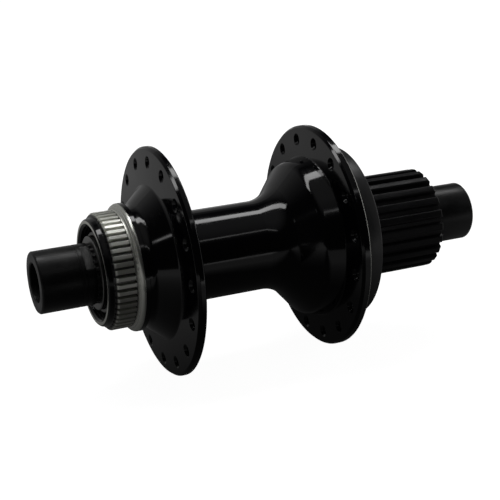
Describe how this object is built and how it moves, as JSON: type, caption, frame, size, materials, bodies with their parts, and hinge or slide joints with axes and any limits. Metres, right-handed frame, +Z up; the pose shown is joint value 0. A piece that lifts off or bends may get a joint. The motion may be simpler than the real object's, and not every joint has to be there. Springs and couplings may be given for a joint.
{
  "type": "bicycle rear hub",
  "caption": "Rear hub for a through axle, with a splined rotor seat, two drilled spoke flanges, a flared shell and a splined freehub body on ratchet pawls.",
  "frame": {"origin": "on the axle line, midway between the two end faces", "axes": "+X along the axle towards the drive side, +Z up"},
  "size_m": [0.148, 0.0716, 0.0716],
  "materials": {
    "shell_black": "gloss black anodised aluminium, bare at the rotor splines",
    "cover_black": "satin black anodised aluminium",
    "freehub_black": "dark anodised aluminium",
    "cap_black": "satin dark anodised aluminium",
    "axle_steel": "turned",
    "nut_steel": "phosphated",
    "race_steel": "ground",
    "ball_steel": "polished",
    "shield_steel": "pressed and zinc plated",
    "retainer_steel": "pressed",
    "seal_rubber": "matte",
    "spring_steel": "drawn wire"
  },
  "bodies": {
    "axle": {"axle_tube": "axle_steel", "left_end_cap": "cap_black", "left_lock_nut": "nut_steel", "left_lock_washer": "nut_steel", "left_cone_shield": "shield_steel", "left_cone": "race_steel", "right_cone": "race_steel", "right_cone_seal": "seal_rubber", "right_spacer": "nut_steel", "right_end_cap": "cap_black"},
    "shell": {"hub_shell": "shell_black", "left_bearing_cup": "race_steel", "left_dust_cap": "shield_steel", "left_seal": "seal_rubber", "drive_side_cover": "cover_black", "freehub_fixing_bolt": "nut_steel", "freehub_washer": "nut_steel", "freehub_inner_body": "race_steel", "pawl_spring": "spring_steel"},
    "driver": {"freehub_body": "freehub_black", "ratchet_ring": "race_steel", "freehub_bearing_cup": "race_steel", "freehub_cup_nut": "nut_steel", "freehub_rear_seal": "seal_rubber"},
    "pawl_one": {"pawl_1": "nut_steel"},
    "pawl_two": {"pawl_2": "nut_steel"},
    "pawl_three": {"pawl_3": "nut_steel"},
    "left_ball_set": {"left_balls": "ball_steel", "left_ball_retainer": "retainer_steel"},
    "right_ball_set": {"right_balls": "ball_steel", "right_ball_retainer": "retainer_steel"},
    "inner_ball_row": {"inner_row_balls": "ball_steel"},
    "outer_ball_row": {"outer_row_balls": "ball_steel"}
  },
  "joints": [
    {"name": "shell_spin", "type": "hinge", "parent": "axle", "child": "shell", "pos_m": [0, 0, 0], "axis": [1, 0, 0], "continuous": true},
    {"name": "driver_spin", "type": "hinge", "parent": "shell", "child": "driver", "pos_m": [0, 0, 0], "axis": [1, 0, 0], "continuous": true},
    {"name": "left_ball_set_spin", "type": "hinge", "parent": "axle", "child": "left_ball_set", "pos_m": [0, 0, 0], "axis": [1, 0, 0], "continuous": true},
    {"name": "right_ball_set_spin", "type": "hinge", "parent": "axle", "child": "right_ball_set", "pos_m": [0, 0, 0], "axis": [1, 0, 0], "continuous": true},
    {"name": "inner_ball_row_spin", "type": "hinge", "parent": "shell", "child": "inner_ball_row", "pos_m": [0, 0, 0], "axis": [1, 0, 0], "continuous": true},
    {"name": "outer_ball_row_spin", "type": "hinge", "parent": "shell", "child": "outer_ball_row", "pos_m": [0, 0, 0], "axis": [1, 0, 0], "continuous": true},
    {"name": "pawl_one_lift", "type": "hinge", "parent": "shell", "child": "pawl_one", "pos_m": [0.0166, 0, 0.0156], "axis": [1, 0, 0], "range_deg": [0, 11], "stiffness_Nm_per_rad": 0.002, "springref_deg": -5.73},
    {"name": "pawl_two_lift", "type": "hinge", "parent": "shell", "child": "pawl_two", "pos_m": [0.0166, -0.01351, -0.0078], "axis": [1, 0, 0], "range_deg": [0, 11], "stiffness_Nm_per_rad": 0.002, "springref_deg": -5.73},
    {"name": "pawl_three_lift", "type": "hinge", "parent": "shell", "child": "pawl_three", "pos_m": [0.0166, 0.01351, -0.0078], "axis": [1, 0, 0], "range_deg": [0, 11], "stiffness_Nm_per_rad": 0.002, "springref_deg": -5.73}
  ],
  "couplings": [
    {"joint": "left_ball_set_spin", "follows": "shell_spin", "ratio": 0.57723},
    {"joint": "right_ball_set_spin", "follows": "shell_spin", "ratio": 0.55727},
    {"joint": "inner_ball_row_spin", "follows": "driver_spin", "ratio": 0.54877},
    {"joint": "outer_ball_row_spin", "follows": "driver_spin", "ratio": 0.54877}
  ]
}
